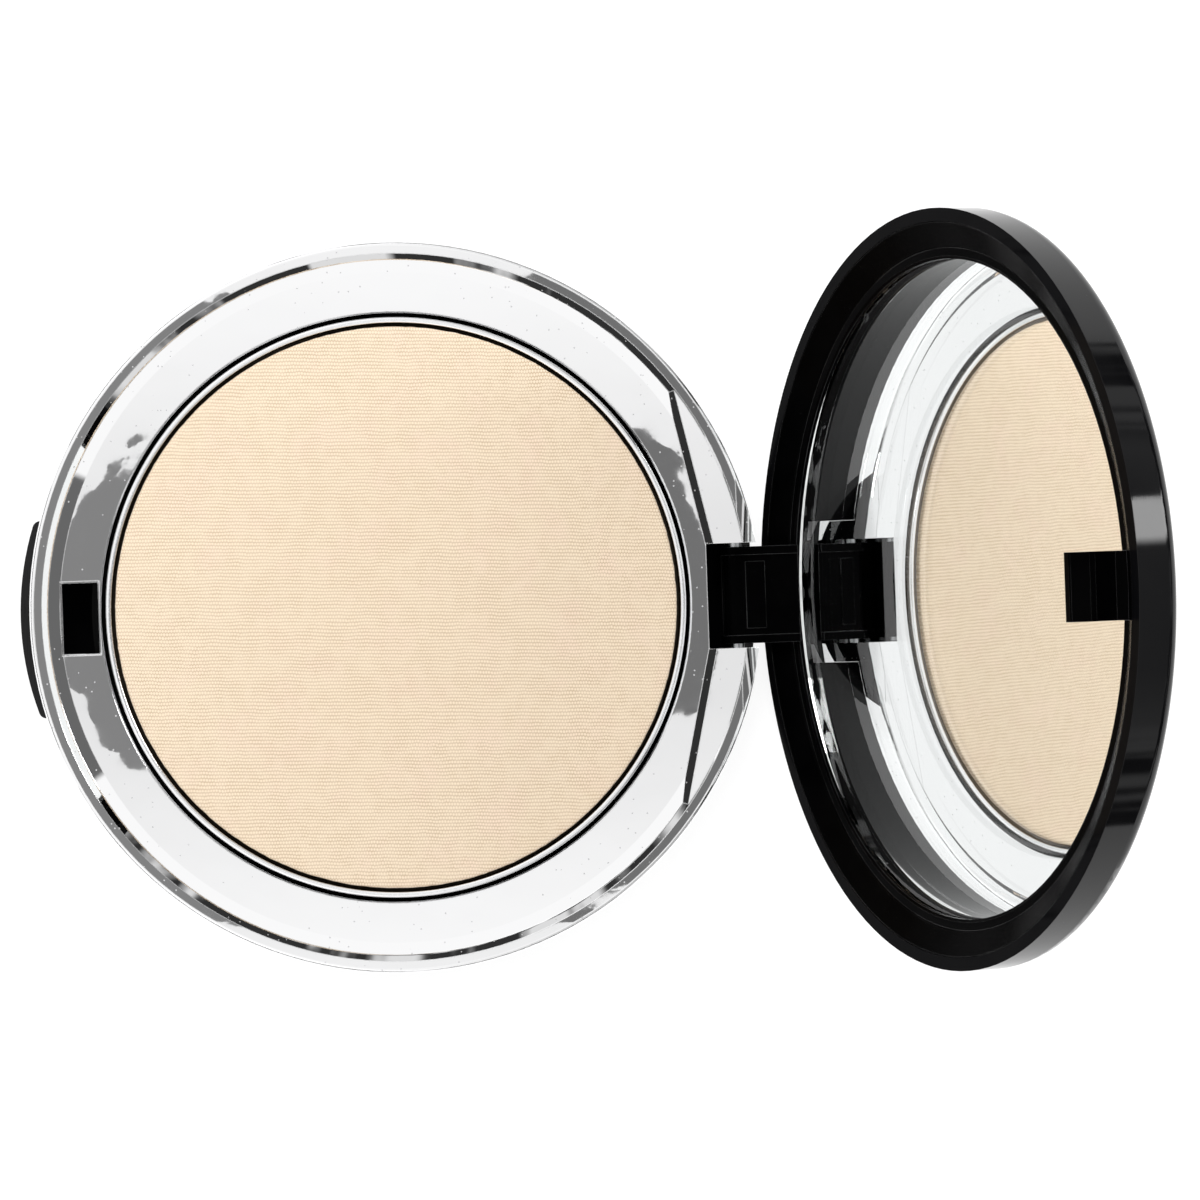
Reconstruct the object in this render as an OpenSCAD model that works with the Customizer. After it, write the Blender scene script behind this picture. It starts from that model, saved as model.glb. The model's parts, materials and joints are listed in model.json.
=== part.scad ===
// Round hinged powder compact, standing open: black case, bright metallised
// insert, aluminium powder pan, framed mirror, and a push-button catch.
// Millimetres. Origin: centre of the base's underside. +Z is up, the hinge is
// at +Y and the push button at -Y. Lid parts are drawn closed on the base and
// then swung open about the hinge pin.

/* [Case] */
// Outer diameter of the base and the lid
case_d = 75; // [74.5:0.5:76]
// Height of the base, from the table to the top of the bright lip
base_h = 9.6; // [9.4:0.1:10.4]
// Thickness of the lid, from its rim to its flat top
lid_h = 4.7; // [4.6:0.1:5.4]
// Wall thickness of the moulded case parts
wall_t = 1.3; // [1.2:0.05:1.4]
// Thickness of the base's floor
floor_t = 1.4; // [1.2:0.1:1.5]
// Rounding of the base's bottom edge
foot_r = 1.1; // [0.6:0.1:1.2]
// Rounding of the lid's top edge
crown_r = 1.5; // [1:0.1:1.8]

/* [Bright insert] */
// Height of the insert's lip, seen from the side
lip_h = 2.2; // [1.9:0.1:2.4]
// Width of the insert's lip, seen from above
lip_w = 1.8; // [1.5:0.1:2]
// How far the flat deck lies below the top of the lip
deck_drop = 0.8; // [0.5:0.1:0.9]
// Thickness of the deck and of the well's floor
deck_t = 1; // [0.8:0.1:1]

/* [Pan and powder] */
// Outer diameter of the powder pan
pan_d = 59.5; // [58.5:0.5:59.5]
// Height of the powder pan
pan_h = 4.6; // [4:0.1:4.7]
// Thickness of the pan's wall and floor
pan_t = 0.6; // [0.4:0.1:0.7]
// How far the pan's rim stands above the deck
pan_proud = 0.35; // [0.1:0.05:0.4]
// How far the pressed powder stands above the pan's rim
powder_proud = 0.35; // [0.15:0.05:0.4]

/* [Mirror] */
// Diameter of the mirror glass
mirror_d = 67; // [66:0.5:67]
// Thickness of the mirror glass
mirror_t = 1.8; // [1.6:0.1:1.8]
// Depth of the mirror's face below the lid's rim
mirror_depth = 1.85; // [1.75:0.05:1.9]

/* [Hinge] */
// How far the lid stands open from closed, in degrees
open_angle = 112; // [0:1:112]
// Distance of the hinge pin from the case's centre
hinge_y = 35.2; // [35.1:0.05:35.3]
// Height of the hinge pin above the table
hinge_z = 5.4; // [5.3:0.1:5.6]
// Diameter of the hinge pin
pin_d = 1.5; // [1.2:0.1:1.5]
// Width of the lid's hinge arm
arm_w = 10; // [9:0.5:10]
// Width of each of the insert's two hinge lugs
lug_w = 2; // [1.8:0.1:2.2]

/* [Catch] */
// Width of the push button across its curved face
button_w = 20.2; // [18:0.2:20.6]
// Height of the push button
button_h = 4.9; // [4.2:0.1:4.9]
// How far the push button stands out of the case
button_proud = 0.95; // [0.8:0.05:1.1]
// Width of the window that the latch hook drops into
window_w = 7.2; // [7:0.1:7.6]
// Length of that window, from front to back
window_l = 3.6; // [3.5:0.1:3.6]
// Width of the latch hook
hook_w = 6.5; // [6:0.1:6.5]

/* [Hidden] */
$fn = 180;

black = [0.06, 0.06, 0.065];
bright = [0.88, 0.88, 0.9];
steel = [0.6, 0.61, 0.63];

eps = 0.02;             // overlap that makes cuts and unions clean
gap = 0.1;              // assembly clearance between fixed parts
run_gap = 0.05;         // radial running clearance on the hinge pin

// Base levels and radii
case_r = case_d / 2;
shell_top = base_h - lip_h;
shell_in = case_r - wall_t;
lip_in = case_r - lip_w;
lip_round = 0.45;
lip_slope = 0.55;       // width of the lip's sloped inner side
lip_fall = 0.009;       // fall of the lip's top towards that slope
band_w = 1.3;           // shallow slope round the outside of the deck
band_rise = 0.17;
deck_z = base_h - deck_drop;
deck_under = deck_z - deck_t;
pan_r = pan_d / 2;
well_r = pan_r + 0.45;
well_out = well_r + deck_t;
pan_z = deck_z + pan_proud - pan_h;
pan_rim = pan_z + pan_h;
glue_t = 0.25;
well_floor = pan_z - glue_t;
skirt_r = shell_in - gap;
skirt_t = 1;
skirt_h = 1.4;
powder_z = pan_rim + powder_proud;
powder_r = pan_r - pan_t;

// Hinge: notch in the insert, lugs either side, arm on the lid
notch_w = arm_w + 0.8;
notch_y = 32;
lug_out = notch_w / 2 + lug_w;
lug_z = 2.9;
stop_drop = 0.55;       // fall of the sloped stop that the open arm rests over
land_y = 33.15;         // inner edge of the raised land beside the notch
land_turn = 12.5;       // how far that edge turns back from the X axis
land_slope = 0.75;      // width of the land's sloped edge
land_drop = 0.12;       // how far the land lies below the lip
land_w = 12;            // more than enough to reach the lip
knuckle_r = 1.6;
relief = 0.02;          // how far the lip by the hinge stays inside the rim's sweep
pin_l = 2 * lug_out - 0.4;
arm_back = case_r - 0.35;
rib_w = 0.85;           // ribs along both sides of the arm
rib_h = 0.4;            // their height over the arm's web
pad_w = 6.9;            // raised pad on the web
pad_l = 2;

// Catch
window_y = -30.5;                    // back edge of the window
window_front = window_y - window_l;
bevel = 0.2;                         // bevel round the window
button_z = 2.3;
button_r = 30;                       // radius of the button's outer face
button_end_r = 0.8;                  // rounding of the face's two ends
flange_t = 0.9;
flange_w = button_w + 2.4;
bay_w = flange_w + 1;                // bay in the insert behind the button
bay_y = -31.4;
pusher_z = button_z + 2.6;
hook_y = window_front + 1.1;         // outer face of the hook's stem
hook_t = 1.3;
hook_drop = 4.6;                     // hook's tip below the lid's rim
nose = 0.65;                         // how far the hook's nose stands out
spring_t = 0.25;
spring_h = 1.6;
spring_w = 15.6;
spring_z = 2.5;
spring_sag = 1.75;
post_r = 0.8;
post_x = 7.2;

// Lid levels, closed
rim_z = base_h + 0.05;
lid_top = rim_z + lid_h;
mirror_r = mirror_d / 2;
mirror_z = rim_z + mirror_depth;
silver_z = mirror_z + mirror_t;
silver_t = 0.05;
pad_t = 0.15;
roof_z = silver_z + silver_t + pad_t;
frame_r = shell_in - 0.05;
slope_r = mirror_r + 0.25;           // foot of the frame's sloped wall
slope_z = rim_z + 1.15;
bead_r = mirror_r - 1;               // opening that shows the mirror
bead_z = rim_z + 1.3;

// Annulus about the vertical axis
module ring(r_out, r_in, z0, z1) {
    translate([0, 0, z0])
        difference() {
            cylinder(r = r_out, h = z1 - z0);
            translate([0, 0, -eps]) cylinder(r = r_in, h = z1 - z0 + 2 * eps);
        }
}

// Box between its low and high corners
module block(low, high) {
    translate(low) cube(high - low);
}

// Swings a lid part from closed to open about the hinge pin
module swung() {
    translate([0, hinge_y, hinge_z])
        rotate([-open_angle, 0, 0])
            translate([0, -hinge_y, -hinge_z])
                children();
}

// Round bar along X on the hinge axis
module on_axis(r, length) {
    translate([-length / 2, hinge_y, hinge_z])
        rotate([0, 90, 0])
            cylinder(r = r, h = length, $fn = 48);
}

// Straight bar along X whose section is given as [y, z] points
module bar_x(width, section) {
    translate([-width / 2, 0, 0])
        rotate([90, 0, 90])
            linear_extrude(width)
                polygon(section);
}

// ---- Base -----------------------------------------------------------------

module base_shell() {
    color(black)
        difference() {
            rotate_extrude()
                union() {
                    translate([0, foot_r]) square([case_r, shell_top - foot_r]);
                    square([case_r - foot_r, foot_r + eps]);
                    translate([case_r - foot_r, foot_r]) circle(r = foot_r, $fn = 48);
                }
            translate([0, 0, floor_t]) cylinder(r = shell_in, h = base_h);
            // opening for the insert's hinge lugs
            block([-lug_out - gap, notch_y, lug_z - gap],
                  [lug_out + gap, case_r + 1, base_h]);
            // sloped stop under the open lid's arm
            bar_x(arm_w + 2 * gap,
                  [[shell_in - 1, lug_z + 1], [shell_in - 1, lug_z - gap],
                   [shell_in, lug_z - gap], [case_r + 1, lug_z - gap - stop_drop * 1.8],
                   [case_r + 1, lug_z + 1]]);
            // opening for the push button
            block([-button_w / 2 - gap, -case_r - 1, button_z - gap],
                  [button_w / 2 + gap, -shell_in * 0.9, base_h]);
        }
    // support ring under the insert's well
    color(black) ring(27, 26, floor_t - eps, well_floor - deck_t);
    // posts that the ends of the button's spring rest on
    color(black)
        for (s = [-1, 1])
            translate([s * post_x, 0, floor_t - eps])
                translate([0, spring_y(post_x) + spring_t + 0.02 + post_r, 0])
                    cylinder(r = post_r, h = spring_z + spring_h - floor_t, $fn = 32);
}

// Half section of the insert, without its notch, window and bay
function insert_section() = concat(
    [[0, well_floor - deck_t], [well_out, well_floor - deck_t], [well_out, deck_under],
     [skirt_r - skirt_t, deck_under], [skirt_r - skirt_t, shell_top - skirt_h],
     [skirt_r, shell_top - skirt_h], [skirt_r, shell_top], [case_r, shell_top]],
    [for (a = [0:15:90])
        [case_r - lip_round * (1 - cos(a)), base_h - lip_round * (1 - sin(a))]],
    [[lip_in + lip_slope, base_h - lip_fall], [lip_in, deck_z + band_rise + 0.1],
     [lip_in - 0.1, deck_z + band_rise], [lip_in - band_w, deck_z],
     [well_r + 0.15, deck_z], [well_r, deck_z - 0.15],
     [well_r, well_floor], [0, well_floor]]);

// Raised land between the deck and the lip, on both sides of the hinge notch
module hinge_land() {
    land_l = lip_in;
    land_z = base_h - land_drop;
    intersection() {
        cylinder(r = lip_in + 0.9, h = land_z);
        for (s = [0, 1])
            mirror([s, 0, 0])
                translate([0, land_y, 0])
                    rotate([0, 0, -land_turn])
                        translate([land_l / 2, 0, 0])
                            bar_x(land_l, [[-land_slope, 2 * deck_z - land_z],
                                           [land_slope, land_z], [land_w, land_z],
                                           [land_w, 2 * deck_z - land_z]]);
    }
}

module window_cut() {
    block([-window_w / 2, window_front, deck_under - 1],
          [window_w / 2, window_y, base_h]);
    hull() {
        block([-window_w / 2, window_front, deck_z - bevel],
              [window_w / 2, window_y, deck_z - bevel + eps]);
        block([-window_w / 2 - bevel, window_front - bevel, deck_z],
              [window_w / 2 + bevel, window_y + bevel, deck_z + eps]);
    }
}

module bright_insert() {
    color(bright)
        difference() {
            union() {
                rotate_extrude() polygon(insert_section());
                hinge_land();
                // hinge lugs
                intersection() {
                    block([-lug_out, notch_y, lug_z], [lug_out, case_r, deck_z - eps]);
                    cylinder(r = case_r, h = base_h);
                }
            }
            // notch for the lid's hinge arm
            block([-notch_w / 2, notch_y, 0], [notch_w / 2, case_r + 1, base_h + 1]);
            on_axis(pin_d / 2, 4 * lug_out);
            window_cut();
            // relief beside the notch, which the lid's rim swings over
            difference() {
                block([-case_r, hinge_y, shell_top], [case_r, case_r + 1, base_h + 1]);
                on_axis(base_h - hinge_z - relief, 3 * case_r);
            }
            // bay for the push button
            block([-bay_w / 2, -case_r - 1, 0], [bay_w / 2, bay_y, shell_top - eps]);
        }
}

module hinge_pin() {
    color(steel) on_axis(pin_d / 2, pin_l);
}

module pan_adhesive() {
    color([0.9, 0.88, 0.8])
        translate([0, 0, well_floor]) cylinder(r = pan_r - 4, h = glue_t);
}

module powder_pan() {
    color([0.8, 0.8, 0.82])
        difference() {
            translate([0, 0, pan_z]) cylinder(r = pan_r, h = pan_h);
            translate([0, 0, pan_z + pan_t]) cylinder(r = powder_r, h = pan_h);
        }
}

module powder_cake() {
    color([0.98, 0.88, 0.77])
        rotate_extrude()
            polygon([[0, pan_z + pan_t], [powder_r, pan_z + pan_t],
                     [powder_r, pan_rim - 0.35], [powder_r - 0.35, pan_rim - 0.1],
                     [powder_r - 0.4, powder_z - 0.15], [powder_r - 0.55, powder_z],
                     [0, powder_z]]);
}

// ---- Catch ----------------------------------------------------------------

// Y of the spring's outer face at a distance x from its middle
function spring_y(x) = spring_back + spring_r - sqrt(spring_r * spring_r - x * x);
spring_back = -skirt_r + flange_t + 0.02;
spring_r = (spring_w * spring_w / 4 + spring_sag * spring_sag) / (2 * spring_sag);

// Blank of the button: its arched outer face, with both ends rounded
module button_blank() {
    face_y = button_r - case_r - button_proud;
    end_x = button_w / 2 - button_end_r;
    end_y = face_y - sqrt(pow(button_r - button_end_r, 2) - end_x * end_x);
    meet_x = end_x * button_r / (button_r - button_end_r);
    intersection() {
        translate([0, face_y, button_z]) cylinder(r = button_r, h = button_h, $fn = 360);
        block([-meet_x, -case_r - 2, button_z], [meet_x, end_y + 2, button_z + button_h]);
    }
    block([-button_w / 2, end_y, button_z], [button_w / 2, end_y + 3, button_z + button_h]);
    for (s = [-1, 1])
        translate([s * end_x, end_y, button_z])
            cylinder(r = button_end_r, h = button_h, $fn = 48);
}

module push_button() {
    color(black) {
        difference() {
            button_blank();
            cylinder(r = skirt_r - flange_t, h = base_h);
        }
        // flange that keeps the button in the case
        intersection() {
            ring(skirt_r, skirt_r - flange_t, button_z, button_z + button_h);
            block([-flange_w / 2, -case_r, 0], [flange_w / 2, 0, base_h]);
        }
        // pusher that bends the latch hook free
        block([-hook_w / 2 + 0.5, -skirt_r + 0.3, pusher_z],
              [hook_w / 2 - 0.5, window_front - 0.5, button_z + button_h]);
    }
}

module button_spring() {
    color(steel)
        translate([0, 0, spring_z])
            linear_extrude(spring_h)
                intersection() {
                    translate([0, spring_back + spring_r])
                        difference() {
                            circle(r = spring_r);
                            circle(r = spring_r - spring_t);
                        }
                    translate([-spring_w / 2, spring_back - 1])
                        square([spring_w, spring_sag + 1]);
                }
}

// ---- Lid, drawn closed ----------------------------------------------------

module lid_shell() {
    color(black)
        swung()
            difference() {
                rotate_extrude()
                    union() {
                        translate([0, rim_z]) square([case_r, lid_h - crown_r]);
                        translate([0, lid_top - crown_r - eps])
                            square([case_r - crown_r, crown_r + eps]);
                        translate([case_r - crown_r, lid_top - crown_r])
                            circle(r = crown_r, $fn = 64);
                    }
                translate([0, 0, rim_z - 1]) cylinder(r = shell_in, h = roof_z - rim_z + 1);
            }
}

// Sloped wall and bead round the mirror, with the hinge arm and the hook
module lid_frame() {
    color(black)
        swung()
            difference() {
                union() {
                    rotate_extrude()
                        polygon([[frame_r, rim_z + 0.05], [frame_r - 0.1, rim_z + 0.05],
                                 [slope_r, slope_z], [slope_r - 0.15, slope_z + 0.15],
                                 [bead_r + 0.3, bead_z], [bead_r, bead_z + 0.15],
                                 [bead_r, mirror_z], [mirror_r + gap, mirror_z],
                                 [mirror_r + gap, roof_z], [frame_r, roof_z]]);
                    hinge_arm();
                    latch_hook();
                }
                on_axis(pin_d / 2 + run_gap, arm_w + 2);
            }
}

// Inner face of the closed arm, at a distance s past the hinge axis and a
// height h above the knuckle's top: it lies level when the lid is open
function arm_point(s, h) = [
    hinge_y - (knuckle_r + h) * sin(112) + s * cos(112),
    hinge_z + (knuckle_r + h) * cos(112) + s * sin(112)];

module arm_slab(width, h) {
    bar_x(width, [arm_point(0, h), arm_point(arm_root, h),
                  [slope_r, slope_z + 0.15], [frame_r - 0.4, rim_z + 0.4],
                  [frame_r - 0.4, base_h], [arm_back, base_h], [arm_back, hinge_z + 0.9],
                  [hinge_y + 0.9, hinge_z - 1.1], [hinge_y, hinge_z]]);
}
arm_root = 6.5;

module hinge_arm() {
    side_x = arm_w / 2 - rib_w / 2;
    arm_slab(arm_w, -rib_h);
    on_axis(knuckle_r - rib_h, arm_w);
    for (s = [-1, 1])
        translate([s * side_x, 0, 0]) {
            arm_slab(rib_w, 0);
            on_axis(knuckle_r, rib_w);
        }
    // pad on the web
    bar_x(pad_w, [arm_point(1, -rib_h - 0.3), arm_point(1, -rib_h + 0.12),
                  arm_point(1 + pad_l, -rib_h + 0.12), arm_point(1 + pad_l, -rib_h - 0.3)]);
}

module latch_hook() {
    tip = rim_z - hook_drop;
    bar_x(hook_w, [[hook_y - 1.2, mirror_z - eps], [hook_y, rim_z + 0.3],
                   [hook_y, tip + 2.7], [hook_y - nose, tip + 2.3],
                   [hook_y - nose, tip + 1.7], [hook_y + 0.15, tip + 0.1],
                   [hook_y + 0.35, tip], [hook_y + hook_t - 0.2, tip],
                   [hook_y + hook_t, tip + 0.2], [hook_y + hook_t, mirror_z - eps]]);
}

module mirror_glass() {
    color([0.75, 0.82, 0.84])
        swung() translate([0, 0, mirror_z]) cylinder(r = mirror_r, h = mirror_t);
}

module mirror_silvering() {
    color([0.85, 0.86, 0.88])
        swung() translate([0, 0, silver_z]) cylinder(r = mirror_r, h = silver_t);
}

module mirror_adhesive() {
    color([0.9, 0.9, 0.85])
        swung() translate([0, 0, silver_z + silver_t]) cylinder(r = mirror_r - 3, h = pad_t);
}

base_shell();
bright_insert();
hinge_pin();
pan_adhesive();
powder_pan();
powder_cake();
push_button();
button_spring();
lid_shell();
lid_frame();
mirror_glass();
mirror_silvering();
mirror_adhesive();
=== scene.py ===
import json
import math

import bmesh
import bpy
from mathutils import Matrix, Vector, noise


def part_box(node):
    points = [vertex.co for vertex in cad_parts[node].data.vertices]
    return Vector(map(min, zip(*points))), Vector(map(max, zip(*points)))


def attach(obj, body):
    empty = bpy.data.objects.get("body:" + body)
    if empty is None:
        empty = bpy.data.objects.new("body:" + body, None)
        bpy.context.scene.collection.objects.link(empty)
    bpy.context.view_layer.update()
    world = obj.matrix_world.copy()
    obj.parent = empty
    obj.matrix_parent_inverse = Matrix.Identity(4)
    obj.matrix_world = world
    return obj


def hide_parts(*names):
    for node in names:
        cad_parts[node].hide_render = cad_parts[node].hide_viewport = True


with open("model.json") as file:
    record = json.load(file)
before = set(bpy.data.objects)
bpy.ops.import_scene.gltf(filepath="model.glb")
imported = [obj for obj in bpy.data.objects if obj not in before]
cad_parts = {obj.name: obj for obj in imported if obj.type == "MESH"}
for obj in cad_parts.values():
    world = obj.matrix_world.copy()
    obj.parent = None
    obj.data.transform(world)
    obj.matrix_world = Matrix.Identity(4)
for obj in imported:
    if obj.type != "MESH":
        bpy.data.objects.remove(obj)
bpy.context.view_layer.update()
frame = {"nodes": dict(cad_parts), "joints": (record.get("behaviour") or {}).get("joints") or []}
nodes = frame["nodes"]
MM = 0.001

# ---- Where things are, from the frame --------------------------------------

cake_low, cake_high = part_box("powder_cake")
pan_low, pan_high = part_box("powder_pan")
insert_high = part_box("bright_insert")[1]
hinge = next(j for j in frame["joints"] if j["name"] == "lid_hinge")
hinge_at = Vector(hinge["pos_m"])
open_angle = math.radians(hinge["range_deg"][1])

# Stands the closed lid, drawn level over the base, at the angle it is open
lid_swing = (Matrix.Translation(hinge_at) @ Matrix.Rotation(-open_angle, 4, "X")
             @ Matrix.Translation(-hinge_at))

RIM_FACES = lid_swing.to_3x3() @ Vector((0, 0, -1))     # way the open lid's rim faces
DECK_UNDER = insert_high.z - 1.75 * MM                  # just above the deck's underside
SKIRT = insert_high.x - 2.3 * MM                        # the coat ends inside this radius


# ---- Node helpers ----------------------------------------------------------

# Sockets of a Mix node set to RGBA, which shares its socket names with the other types
MIX_FACTOR, MIX_A, MIX_B, MIX_RESULT = 0, 6, 7, 2


class Nodes:
    """A material's or the world's node tree, built by short calls."""

    def __init__(self, tree):
        self.tree = tree
        tree.nodes.clear()

    def add(self, kind, inputs=None, **settings):
        """Adds a node. An input is a value, or the output socket to link to it."""
        node = self.tree.nodes.new(kind)
        for key, value in settings.items():
            setattr(node, key, value)
        for key, value in (inputs or {}).items():
            self.feed(node.inputs[key], value)
        return node

    def feed(self, socket, value):
        if isinstance(value, bpy.types.NodeSocket):
            self.tree.links.new(value, socket)
        else:
            socket.default_value = value

    def math(self, operation, a, b=0.0):
        return self.add("ShaderNodeMath", {0: a, 1: b}, operation=operation).outputs[0]

    def spread(self, value, low, high, to_low, to_high):
        """Maps a value smoothly from one range to another, clamped."""
        node = self.add("ShaderNodeMapRange",
                        {0: value, 1: low, 2: high, 3: to_low, 4: to_high},
                        interpolation_type="SMOOTHSTEP")
        return node.outputs[0]

    def noise(self, where, per_mm, detail=2.0, roughness=0.5, stretch=None):
        """Noise whose features are about 1/per_mm millimetres across."""
        if stretch:
            where = self.add("ShaderNodeMapping",
                             {"Vector": where, "Scale": stretch}).outputs[0]
        node = self.add("ShaderNodeTexNoise",
                        {"Vector": where, "Scale": per_mm / MM, "Detail": detail,
                         "Roughness": roughness})
        return node.outputs[0]

    def sky_noise(self, where, scale, detail):
        """Noise over the directions of the sky, for the studio."""
        return self.add("ShaderNodeTexNoise",
                        {"Vector": where, "Scale": scale, "Detail": detail}).outputs[0]

    def dots(self, where, per_mm, radius, share):
        """Scattered round specks: 1 inside a speck, 0 outside."""
        cells = self.add("ShaderNodeTexVoronoi",
                         {"Vector": where, "Scale": per_mm / MM, "Randomness": 1.0})
        near = self.math("LESS_THAN", cells.outputs["Distance"], radius)
        lucky = self.add("ShaderNodeSeparateColor", {0: cells.outputs["Color"]})
        return self.math("MULTIPLY", near, self.math("LESS_THAN", lucky.outputs[0], share))

    def mix(self, factor, a, b):
        inputs = {MIX_FACTOR: factor, MIX_A: a, MIX_B: b}
        return self.add("ShaderNodeMix", inputs, data_type="RGBA").outputs[MIX_RESULT]

    def hypotenuse(self, x, y):
        return self.math("SQRT", self.math("ADD", self.math("POWER", x, 2.0),
                                           self.math("POWER", y, 2.0)))

    def distance(self, apart):
        """Distance from the case's axis, from a separated position."""
        return self.hypotenuse(apart.outputs[0], apart.outputs[1])

    def rounded(self, radius_mm, normal=None):
        """The surface's normal with its sharp edges rounded off."""
        inputs = {"Radius": radius_mm * MM}
        if normal is not None:
            inputs["Normal"] = normal
        return self.add("ShaderNodeBevel", inputs, samples=4).outputs[0]

    def edges(self, radius_mm):
        """1 along sharp edges, 0 elsewhere."""
        facing = self.add("ShaderNodeVectorMath",
                          {0: self.rounded(radius_mm),
                           1: self.add("ShaderNodeNewGeometry").outputs["Normal"]},
                          operation="DOT_PRODUCT").outputs["Value"]
        return self.spread(facing, 0.86, 0.985, 1.0, 0.0)

    def bump(self, height, distance_mm, strength=1.0, normal=None):
        inputs = {"Height": height, "Distance": distance_mm * MM, "Strength": strength}
        if normal is not None:
            inputs["Normal"] = normal
        return self.add("ShaderNodeBump", inputs).outputs[0]


def material(name, paint):
    """A material whose Principled shader's inputs are what paint(nodes, place) returns."""
    made = bpy.data.materials.new(name)
    made.use_nodes = True
    n = Nodes(made.node_tree)
    place = n.add("ShaderNodeTexCoord").outputs["Object"]
    shader = n.add("ShaderNodeBsdfPrincipled")
    for key, value in paint(n, place).items():
        n.feed(shader.inputs[key], value)
    n.add("ShaderNodeOutputMaterial", {"Surface": shader.outputs[0]})
    return made


# ---- Materials -------------------------------------------------------------

def rgb(r, g, b):
    return (r, g, b, 1.0)


# Refractive indices lower than real plastic's, because the photograph shows almost no
# shine on the lid's rim, on its frame's flats and inside the base
IOR_RIM = 1.06
IOR_FRAME_FLATS = 1.05
IOR_BASE_INSIDE = 1.04


def glossy_black(n, place):
    """Polished black moulding: faint flow lines, hairline scratches, dust. The lid's rim,
    which faces away from its crown, is duller."""
    flow = n.noise(place, 0.12, detail=3.0)
    hairline = n.noise(place, 1.0, detail=1.0, stretch=(0.3, 9.0, 0.3))
    dust = n.dots(place, 2.0, 0.12, 0.06)
    rough = n.math("ADD", n.spread(flow, 0.3, 0.7, 0.04, 0.08), n.math("MULTIPLY", dust, 0.25))
    towards = n.add("ShaderNodeVectorMath",
                    {0: n.add("ShaderNodeTexCoord").outputs["Normal"], 1: RIM_FACES},
                    operation="DOT_PRODUCT").outputs["Value"]
    rim = n.spread(towards, 0.75, 0.95, 0.0, 1.0)
    return {"Base Color": n.mix(n.spread(flow, 0.3, 0.7, 0.0, 1.0),
                                rgb(0.0025, 0.0025, 0.003), rgb(0.004, 0.004, 0.0045)),
            "Roughness": rough, "IOR": n.spread(rim, 0.0, 1.0, 1.4, IOR_RIM),
            "Normal": n.rounded(0.1, n.bump(hairline, 0.002, 0.25, n.bump(flow, 0.03, 0.25)))}


def satin_black(n, place):
    """Black moulding with a duller skin, for the lid's frame, glossier along its edges, where a
    highlight is also painted into the colour.
    """
    flow = n.noise(place, 0.2, detail=3.0)
    grain = n.noise(place, 6.0, detail=3.0)
    # Painted highlight: along sharp edges the colour is lightened, as a thin line of light; the
    # edges are also glossier.
    edge = n.math("MULTIPLY", n.edges(0.09), n.spread(flow, 0.3, 0.6, 0.3, 1.0))
    coat = n.mix(n.spread(flow, 0.3, 0.7, 0.0, 1.0),
                 rgb(0.0005, 0.0005, 0.0006), rgb(0.0011, 0.0011, 0.0012))
    return {"Base Color": n.mix(edge, coat, rgb(0.05, 0.05, 0.052)),
            "Roughness": n.spread(grain, 0.3, 0.7, 0.12, 0.22),
            "IOR": n.spread(edge, 0.0, 1.0, IOR_FRAME_FLATS, 1.6),
            "Normal": n.rounded(0.09, n.bump(grain, 0.003, 0.2))}


def base_black(n, place):
    """The base's polished black, seen mostly against the table, so less mirror-like. Its
    inside hardly shines."""
    flow = n.noise(place, 0.12, detail=3.0)
    dust = n.dots(place, 2.0, 0.12, 0.06)
    apart = n.add("ShaderNodeSeparateXYZ", {0: place})
    inside = n.math("MULTIPLY", n.math("LESS_THAN", n.distance(apart), SKIRT),
                    n.math("GREATER_THAN", apart.outputs[2], 1.0 * MM))
    return {"Base Color": n.mix(n.spread(flow, 0.3, 0.7, 0.0, 1.0),
                                rgb(0.002, 0.002, 0.0025), rgb(0.0035, 0.0035, 0.004)),
            "Roughness": n.math("ADD", n.spread(flow, 0.3, 0.7, 0.05, 0.09),
                                n.math("MULTIPLY", dust, 0.25)),
            "IOR": n.spread(inside, 0.0, 1.0, 1.5, IOR_BASE_INSIDE),
            "Specular IOR Level": 0.25,
            "Normal": n.rounded(0.1, n.bump(flow, 0.03, 0.25))}


def metallised(n, place):
    """Bright metal coat on the moulding's outer faces, slightly wavy, with pinholes and
    dust. Faces under the deck are the bare black moulding."""
    wave = n.noise(place, 0.09, detail=2.0)
    ripple = n.noise(place, 0.55, detail=2.0)
    pits = n.dots(place, 2.0, 0.18, 0.14)
    apart = n.add("ShaderNodeSeparateXYZ", {0: place})
    inside = n.math("LESS_THAN", n.distance(apart), SKIRT)
    bare = n.math("MULTIPLY", inside, n.math("LESS_THAN", apart.outputs[2], DECK_UNDER))
    coated = n.mix(pits, rgb(0.95, 0.95, 0.955), rgb(0.75, 0.75, 0.76))
    rough = n.math("ADD", n.spread(ripple, 0.35, 0.65, 0.006, 0.014),
                   n.math("MULTIPLY", pits, 0.4))
    return {"Base Color": n.mix(bare, coated, rgb(0.001, 0.001, 0.001)),
            "Metallic": n.math("SUBTRACT", 1.0, bare),
            "Specular IOR Level": 0.05,
            "Roughness": n.math("ADD", rough, n.math("MULTIPLY", bare, 0.3)),
            "Normal": n.rounded(0.12, n.bump(ripple, 0.004, 0.1, n.bump(wave, 0.03, 0.6)))}


TURNING_PITCH = 0.07    # pitch of the turning lines in the pan, mm


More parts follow.
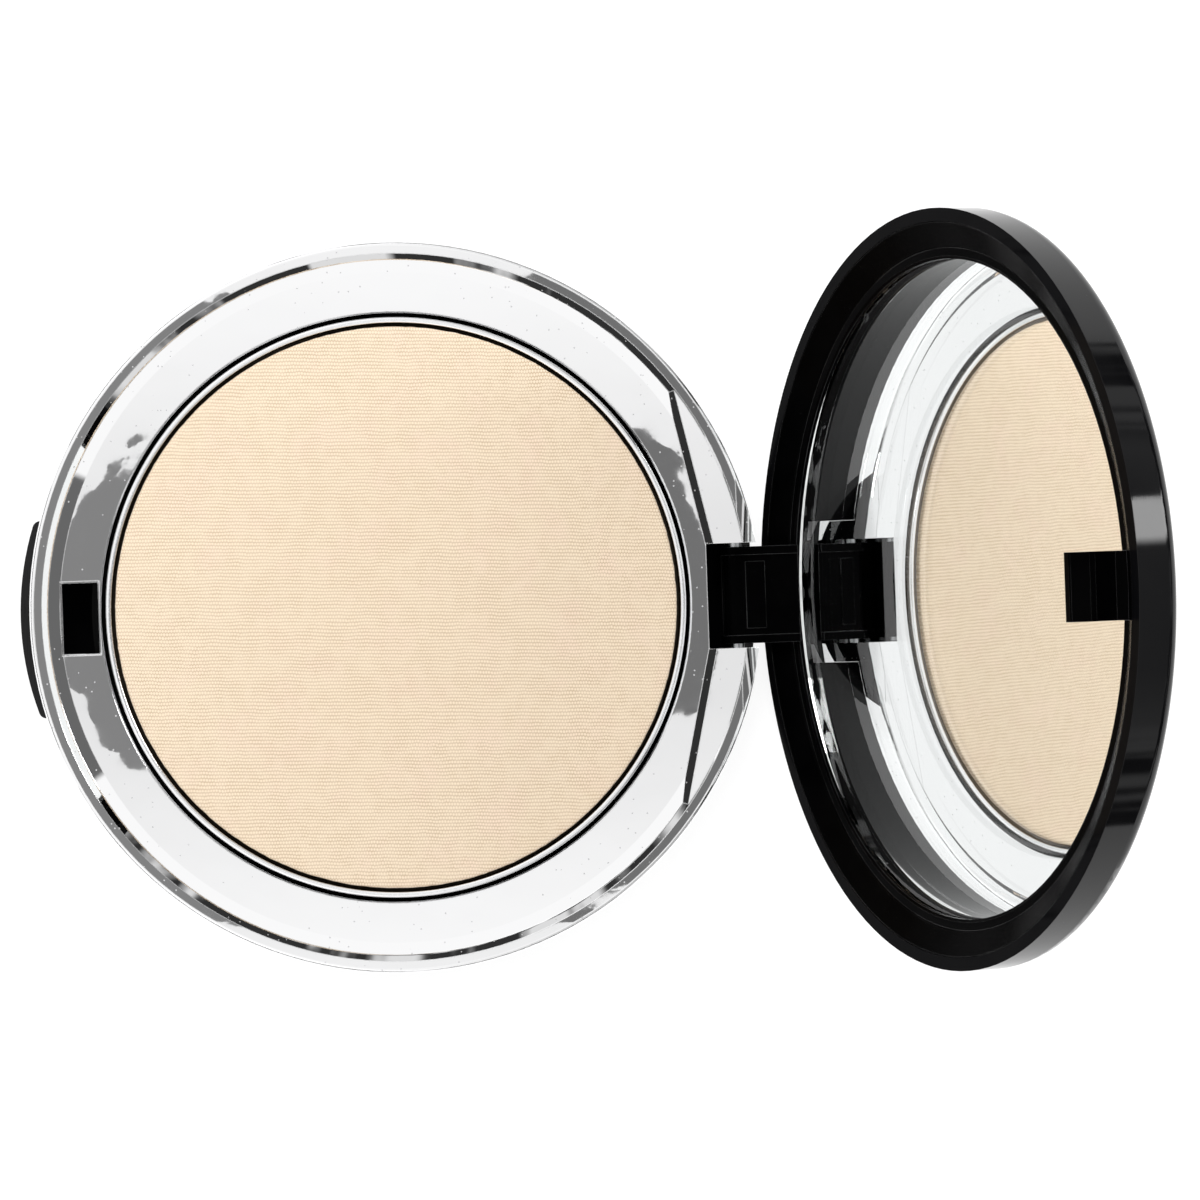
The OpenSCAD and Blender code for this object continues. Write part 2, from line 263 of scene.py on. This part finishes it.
def pan_metal(n, place):
    """Drawn aluminium with turning lines round the pan; shade is painted dark on its inside,
    below the rim.
    """
    apart = n.add("ShaderNodeSeparateXYZ", {0: place})
    radius = n.distance(apart)
    lines = n.math("SINE", n.math("MULTIPLY", radius, 2 * math.pi / (TURNING_PITCH * MM)))
    grain = n.noise(place, 3.0, detail=3.0)
    bright = n.mix(grain, rgb(0.9, 0.9, 0.91), rgb(0.96, 0.96, 0.965))
    # Painted shade: below the rim the pan's inside is darkened, as if in the groove's shadow.
    painted_shade = n.math("MULTIPLY", n.math("LESS_THAN", radius, pan_high.x - 0.5 * MM),
                     n.math("LESS_THAN", apart.outputs[2], pan_high.z - 0.12 * MM))
    return {"Base Color": n.mix(painted_shade, bright, rgb(0.05, 0.045, 0.04)),
            "Metallic": 1.0, "Roughness": n.spread(grain, 0.3, 0.7, 0.12, 0.2),
            "Normal": n.bump(lines, 0.0015, 0.2)}


POWDER = rgb(0.91, 0.77, 0.6)
POWDER_PINK = rgb(0.92, 0.755, 0.605)
# Painted shade, darkening the hollows of the cloth's print
POWDER_HOLLOW_SHADE = rgb(0.6, 0.44, 0.285)
WEAVE_ROW = 0.355       # pitch of the cloth's print in the powder, mm
WEAVE_COLUMN = 0.29
WEAVE_TURN = math.radians(2.0)


def pressed_powder(n, place):
    """Fine pressed powder with the print of the pressing cloth, slightly mottled. Shade is
    painted into the print's hollows and onto the cake's side below the rim.
    """
    laid = n.add("ShaderNodeMapping",
                 {"Vector": place, "Rotation": (0.0, 0.0, WEAVE_TURN)}).outputs[0]
    sway = n.noise(place, 0.35, detail=2.0)
    jitter = n.noise(place, 1.7, detail=2.0)
    apart = n.add("ShaderNodeSeparateXYZ", {0: laid})
    across = n.math("ADD", n.math("DIVIDE", apart.outputs[0], WEAVE_ROW * MM),
                    n.math("ADD", sway, n.math("MULTIPLY", jitter, 0.45)))
    along = n.math("ADD", n.math("DIVIDE", apart.outputs[1], WEAVE_COLUMN * MM),
                   n.math("MULTIPLY", jitter, 0.5))
    row = n.math("FLOOR", across)
    shift = n.math("MULTIPLY", row, 0.5)      # each row of knots is half a pitch along
    ridge = n.math("SINE", n.math("MULTIPLY", n.math("SUBTRACT", across, row), math.pi))
    knot = n.math("SINE", n.math("MULTIPLY", n.math("ADD", along, shift), 2 * math.pi))
    weave = n.math("ADD", ridge, n.math("MULTIPLY", knot, 0.45))
    pressed = n.spread(n.noise(place, 0.8, detail=3.0), 0.35, 0.65, 0.75, 1.0)
    grain = n.noise(place, 12.0, detail=3.0, roughness=0.7)
    height = n.math("ADD", n.math("MULTIPLY", weave, pressed),
                    n.math("MULTIPLY", grain, 0.6))
    blush = n.spread(n.noise(place, 0.25, detail=2.0), 0.45, 0.75, 0.0, 1.0)
    base = n.mix(blush, POWDER, POWDER_PINK)
    # Painted shade: the print's hollows are darkened, as if in shadow.
    hollow_shade = n.math("MULTIPLY", pressed, n.spread(weave, -0.1, 1.2, 0.95, 0.0))
    shaded = n.mix(hollow_shade, base, POWDER_HOLLOW_SHADE)
    # Painted shade: the cake's side below the pan's rim is darkened almost to black, as if in
    # shadow.
    side = n.math("LESS_THAN", apart.outputs[2], pan_high.z - 0.1 * MM)
    return {"Base Color": n.mix(side, shaded, rgb(0.06, 0.045, 0.03)),
            "Roughness": 0.9, "Specular IOR Level": 0.12,
            "Sheen Weight": 0.06, "Sheen Roughness": 0.5,
            "Normal": n.bump(height, 0.02, 0.5)}


def clear_glass(n, place):
    """Mirror glass, faintly green, with a faint smear."""
    smear = n.noise(place, 0.12, detail=3.0)
    return {"Base Color": rgb(0.975, 0.99, 0.985), "Transmission Weight": 1.0, "IOR": 1.52,
            "Roughness": n.spread(smear, 0.45, 0.8, 0.0, 0.012)}


def silver(n, place):
    """The mirror's silver coat."""
    smear = n.noise(place, 0.08, detail=2.0)
    return {"Base Color": n.mix(smear, rgb(0.95, 0.955, 0.955), rgb(0.97, 0.975, 0.975)),
            "Metallic": 1.0, "Roughness": n.spread(smear, 0.3, 0.8, 0.0, 0.004)}


def steel(n, place):
    """Drawn steel, its lines running along the hinge pin."""
    drawn = n.noise(place, 2.0, detail=3.0, stretch=(0.15, 3.0, 3.0))
    return {"Base Color": n.mix(drawn, rgb(0.5, 0.51, 0.52), rgb(0.62, 0.63, 0.64)),
            "Metallic": 1.0, "Roughness": n.spread(drawn, 0.3, 0.7, 0.22, 0.36),
            "Normal": n.bump(drawn, 0.004, 0.3)}


def glue(n, place):
    """Lumpy yellowish adhesive."""
    lumps = n.noise(place, 0.7, detail=3.0)
    return {"Base Color": n.mix(lumps, rgb(0.78, 0.75, 0.64), rgb(0.88, 0.85, 0.75)),
            "Roughness": n.spread(lumps, 0.3, 0.7, 0.35, 0.6), "Subsurface Weight": 0.1,
            "Subsurface Scale": 0.5 * MM, "Normal": n.bump(lumps, 0.05, 0.5)}


def wear(piece, made):
    """Gives a piece one material."""
    piece.data.materials.clear()
    piece.data.materials.append(made)


# Each CAD node that stays, by the material it wears
FINISHES = (
    ("black_gloss", glossy_black, ("push_button", "lid_shell")),
    ("black_satin", satin_black, ("lid_frame",)),
    ("black_base", base_black, ("base_shell",)),
    ("metallised", metallised, ("bright_insert",)),
    ("mirror_glass", clear_glass, ("mirror_glass",)),
    ("pin_steel", steel, ("hinge_pin", "button_spring")),
    ("adhesive", glue, ("pan_adhesive", "mirror_adhesive")),
)
for finish, paint, worn_by in FINISHES:
    made = material(finish, paint)
    for name in worn_by:
        wear(nodes[name], made)


# ---- Pieces made here ------------------------------------------------------

ROUND = 288         # segments round the powder and its pan
ROUND_MIRROR = 180


def link_mesh(name, mesh):
    """Makes an object of a bmesh, which is freed, and links it to the scene."""
    data = bpy.data.meshes.new(name)
    mesh.to_mesh(data)
    mesh.free()
    piece = bpy.data.objects.new(name, data)
    bpy.context.scene.collection.objects.link(piece)
    return piece


def revolve(name, outline, segments, move=None):
    """A closed solid turned about Z from (radius, height) points, which start and end on
    the axis. move(point) can shift each vertex."""
    mesh = bmesh.new()
    rings = []
    for radius, height in outline:
        if radius == 0:
            rings.append([mesh.verts.new((0, 0, height))])
            continue
        ring = []
        for k in range(segments):
            turn = 2 * math.pi * k / segments
            at = Vector((radius * math.cos(turn), radius * math.sin(turn), height))
            ring.append(mesh.verts.new(move(at) if move else at))
        rings.append(ring)
    for low, high in zip(rings, rings[1:]):
        for k in range(segments):
            after = (k + 1) % segments
            if len(low) == 1:
                mesh.faces.new((low[0], high[after], high[k]))
            elif len(high) == 1:
                mesh.faces.new((low[k], low[after], high[0]))
            else:
                mesh.faces.new((low[k], low[after], high[after], high[k]))
    bmesh.ops.recalc_face_normals(mesh, faces=mesh.faces)
    return link_mesh(name, mesh)


def smooth(piece, angle=35):
    """Smooth shading, with edges sharper than the angle kept crisp."""
    for face in piece.data.polygons:
        face.use_smooth = True
    piece.data.set_sharp_from_angle(angle=math.radians(angle))


def powder_surface():
    """The pressed cake: nearly flat, faintly uneven, with a soft crumbled edge."""
    radius = cake_high.x
    rim = pan_high.z
    top = cake_high.z
    face = radius - 0.36 * MM           # leaves a dark groove inside the pan's rim
    flat = face - 0.2 * MM
    steps = 60
    unevenness = 0.012 * MM
    crumble = 0.05 * MM
    outline = [(0, cake_low.z), (radius, cake_low.z), (radius, rim - 1.9 * MM),
               (face, rim - 1.6 * MM), (face, rim + 0.1 * MM),
               (face - 0.03 * MM, top - 0.12 * MM), (face - 0.08 * MM, top - 0.04 * MM)]
    outline += [(flat * k / steps, top) for k in range(steps, -1, -1)]

    def uneven(at):
        if at.z < rim:
            return at
        broad = noise.noise(at * 90) * unevenness
        crumbs = (noise.noise(at * 1400) - 0.6) * crumble
        on_edge = 1 if at.xy.length > flat * 1.001 else 0
        at.z = min(top, at.z - unevenness + broad)
        return at + Vector((at.x, at.y, 0)).normalized() * crumbs * on_edge

    piece = revolve("powder_surface", outline, ROUND, uneven)
    smooth(piece, 50)
    return piece


powder = powder_surface()
wear(powder, material("powder", pressed_powder))
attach(powder, "base")
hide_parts("powder_cake")


def rolled_pan():
    """The powder's pan, with a rolled rim."""
    outer = pan_high.x
    inner = cake_high.x
    half = (outer - inner) / 2
    rise = 0.6 * half                   # the roll is flatter than it is wide
    steps = 12
    outline = [(0, pan_low.z), (outer - 0.5 * MM, pan_low.z),
               (outer - 0.15 * MM, pan_low.z + 0.15 * MM), (outer, pan_low.z + 0.5 * MM)]
    for k in range(steps + 1):
        turn = math.pi * k / steps
        outline.append((outer - half + half * math.cos(turn),
                        pan_high.z - rise + rise * math.sin(turn)))
    outline += [(inner, cake_low.z), (0, cake_low.z)]
    piece = revolve("rolled_pan", outline, ROUND)
    smooth(piece)
    return piece


pan = rolled_pan()
wear(pan, material("pan_metal", pan_metal))
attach(pan, "base")
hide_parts("powder_pan")


def silver_face():
    """The mirror's silver coat, its face just inside the back of the glass, so that the
    glass and the coat have no face in common."""
    unswing = lid_swing.inverted()

    def closed(name):
        return [unswing @ v.co for v in nodes[name].data.vertices]

    inset = 0.02 * MM
    steps = 12
    face = max(p.z for p in closed("mirror_glass")) - inset
    back = max(p.z for p in closed("mirror_silvering"))
    radius = max(p.x for p in closed("mirror_silvering")) - inset
    outline = [(radius * k / steps, face) for k in range(steps + 1)]
    outline += [(radius, back), (0, back)]
    piece = revolve("silver_face", outline, ROUND_MIRROR)
    piece.data.transform(lid_swing)
    smooth(piece)
    return piece


coat = silver_face()
wear(coat, material("silvering", silver))
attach(coat, "lid")
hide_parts("mirror_silvering")

# ---- Floor -----------------------------------------------------------------

FLOOR_SIZE = 6.0
FLOOR_GLOW = 0.86       # the photograph's ground is pure white, so the floor gives off light


def floor():
    mesh = bmesh.new()
    bmesh.ops.create_grid(mesh, x_segments=1, y_segments=1, size=FLOOR_SIZE / 2)
    piece = link_mesh("floor", mesh)
    return piece


def table_top(n, place):
    """Matt pale floor."""
    fibre = n.noise(place, 0.5, detail=3.0)
    return {"Base Color": n.mix(fibre, rgb(0.29, 0.29, 0.29), rgb(0.31, 0.31, 0.31)),
            "Roughness": 0.9, "Specular IOR Level": 0.0,
            "Emission Color": rgb(1, 1, 1), "Emission Strength": FLOOR_GLOW}


wear(floor(), material("table_top", table_top))

# ---- Studio ----------------------------------------------------------------
#
# What the gloss reflects. Places are parts of the unit direction (x, y, z), or, overhead,
# points on a ceiling one unit up. They are fitted to the photograph's reflections, so they
# say nothing about the room that it was taken in.

PANEL_FROM, PANEL_TO = 0.36, 0.47       # two pale panels in front of the object
GAP_MIDDLE = 0.005                      # the dark gap overhead, a rounded bar along Y
GAP_FROM, GAP_TO = 0.0095, 0.058
GAP_RADIUS = 0.035
GAP_NEAR, GAP_FAR = 0.235, 0.17         # its greys at both ends
GAP_RAGGED = 0.008
STAND_COLOUR = rgb(0.14, 0.14, 0.14)
WINDOW_STRENGTH = 10.0
WINDOW_WAVY = 0.07


def below_tent(n, sky, aside, y, z):
    """The dark room below the tent, with a few paler streaks and two pale panels."""
    stretched = n.add("ShaderNodeMapping", {"Vector": sky, "Scale": (5.0, 5.0, 14.0)})
    room = n.sky_noise(stretched.outputs[0], 1.0, 3.0)
    room = n.math("MULTIPLY", n.spread(room, 0.5, 0.62, 0.0, 0.72),
                  n.spread(y, -0.92, -0.85, 0.0, 1.0))
    room = n.math("ADD", room, 0.03)
    panel = n.math("MULTIPLY", n.math("GREATER_THAN", aside, PANEL_FROM),
                   n.math("LESS_THAN", aside, PANEL_TO))
    panel = n.math("MULTIPLY", panel, n.math("LESS_THAN", y, -0.8))
    panel = n.math("MULTIPLY", panel, n.spread(z, 0.02, 0.03, 0.0, 0.7))
    return n.math("ADD", room, panel)


def tent(n, sky, x, y, z, over_x):
    """The white tent: bright in front, dimmer behind the hinge, bright overhead to both
    sides."""
    aside = n.math("ABSOLUTE", x)
    wall = n.spread(y, -0.35, 0.55, 1.0, 0.3)
    wall = n.math("ADD", wall, n.spread(aside, 0.35, 0.8, 0.0, 0.4))
    wall = n.mix(n.spread(z, 0.3, 0.42, 0.0, 1.0), below_tent(n, sky, aside, y, z), wall)
    ceiling = n.spread(n.math("ABSOLUTE", n.math("SUBTRACT", over_x, 0.008)),
                       0.0, 0.07, 0.8, 1.0)
    return n.mix(n.spread(z, 0.8, 0.97, 0.0, 1.0), wall, ceiling)


def inside_gap(n, sky, over_x, over_y):
    """1 in the dark gap overhead, whose edge is uneven, 0 elsewhere."""
    bar_y = n.math("MINIMUM", n.math("MAXIMUM", over_y, GAP_FROM), GAP_TO)
    apart = n.hypotenuse(n.math("SUBTRACT", over_x, GAP_MIDDLE),
                         n.math("SUBTRACT", over_y, bar_y))
    wobble = n.math("SUBTRACT", n.sky_noise(sky, 60.0, 1.0), 0.5)
    apart = n.math("ADD", apart, n.math("MULTIPLY", wobble, GAP_RAGGED))
    return n.math("LESS_THAN", apart, GAP_RADIUS)


def inside_stand(n, over_x, over_y, z):
    """1 on the stand beyond the gap, 0 elsewhere."""
    stand = n.math("MULTIPLY", n.spread(n.math("ABSOLUTE", over_x), 0.095, 0.1, 1.0, 0.0),
                   n.math("MULTIPLY", n.spread(over_y, 0.16, 0.165, 0.0, 1.0),
                          n.spread(over_y, 0.38, 0.4, 1.0, 0.0)))
    return n.math("MULTIPLY", stand, n.math("GREATER_THAN", z, 0.5))


def inside_window(n, sky, x, y, z):
    """1 in the window behind the lid, one of whose sides is wavy, 0 elsewhere."""
    wave = n.math("SUBTRACT", n.sky_noise(sky, 16.0, 2.0), 0.5)
    side = n.math("ADD", x, n.math("MULTIPLY", wave, WINDOW_WAVY))
    window = n.math("MULTIPLY", n.spread(side, -0.36, -0.355, 0.0, 1.0),
                    n.spread(x, -0.21, -0.16, 1.0, 0.0))
    window = n.math("MULTIPLY", window, n.spread(y, 0.6, 0.62, 0.0, 1.0))
    return n.math("MULTIPLY", window, n.spread(z, 0.3, 0.32, 0.0, 1.0))


def studio(n):
    """The tent, with the gap and the stand overhead and a window behind the lid."""
    sky = n.add("ShaderNodeTexCoord").outputs["Generated"]
    x, y, z = n.add("ShaderNodeSeparateXYZ", {0: sky}).outputs
    up = n.math("MAXIMUM", z, 0.001)
    over_x = n.math("DIVIDE", x, up)
    over_y = n.math("DIVIDE", y, up)
    light = n.mix(inside_gap(n, sky, over_x, over_y), tent(n, sky, x, y, z, over_x),
                  n.spread(over_y, 0.0, GAP_TO, GAP_NEAR, GAP_FAR))
    light = n.mix(inside_stand(n, over_x, over_y, z), light, STAND_COLOUR)
    window = n.math("MULTIPLY", inside_window(n, sky, x, y, z), WINDOW_STRENGTH)
    back = n.add("ShaderNodeBackground",
                 {"Color": rgb(1, 1, 1), "Strength": n.math("ADD", light, window)})
    n.add("ShaderNodeOutputWorld", {"Surface": back.outputs[0]})


world = bpy.data.worlds.new("studio")
world.use_nodes = True
studio(Nodes(world.node_tree))
scene = bpy.context.scene
scene.world = world
scene.view_settings.view_transform = "Standard"
scene.view_settings.look = "None"
scene.view_settings.exposure = 0.0
scene.view_settings.gamma = 1.0

# ---- Lamp and camera -------------------------------------------------------

KEY_AT = (-0.7, -0.15, 0.9)
KEY_SIZE = 0.5
KEY_WATTS = 4.8


def area_light(name, place, target, size, watts):
    """A soft lamp that lights the object but isn't seen in its gloss."""
    data = bpy.data.lights.new(name, "AREA")
    data.shape = "DISK"
    data.size = size
    data.energy = watts
    lamp = bpy.data.objects.new(name, data)
    lamp.location = place
    lamp.rotation_mode = "QUATERNION"
    lamp.rotation_quaternion = (Vector(target) - Vector(place)).to_track_quat("-Z", "Y")
    lamp.visible_glossy = False
    lamp.visible_camera = False
    scene.collection.objects.link(lamp)


area_light("key", KEY_AT, (0, 0, 0), KEY_SIZE, KEY_WATTS)

# The photograph looks almost straight down, tilted a little towards the hinge, with the
# hinge side to the right of the picture.
CAMERA_AT = Vector((-0.0034, -0.02065, 0.592))
CAMERA_TILT = Vector((-0.1889, -4.0829, 87.996))        # degrees about X, Y and Z
CAMERA_LENS = 170.69                                    # mm, on a sensor of 36 mm
CAMERA_SENSOR = 36.0

camera_data = bpy.data.cameras.new("camera")
camera_data.sensor_width = CAMERA_SENSOR
camera_data.lens = CAMERA_LENS
camera_data.clip_start = 0.01
camera_data.clip_end = 20.0
camera = bpy.data.objects.new("camera", camera_data)
camera.location = CAMERA_AT
camera.rotation_euler = [math.radians(a) for a in CAMERA_TILT]
scene.collection.objects.link(camera)
scene.camera = camera

bpy.context.view_layer.update()
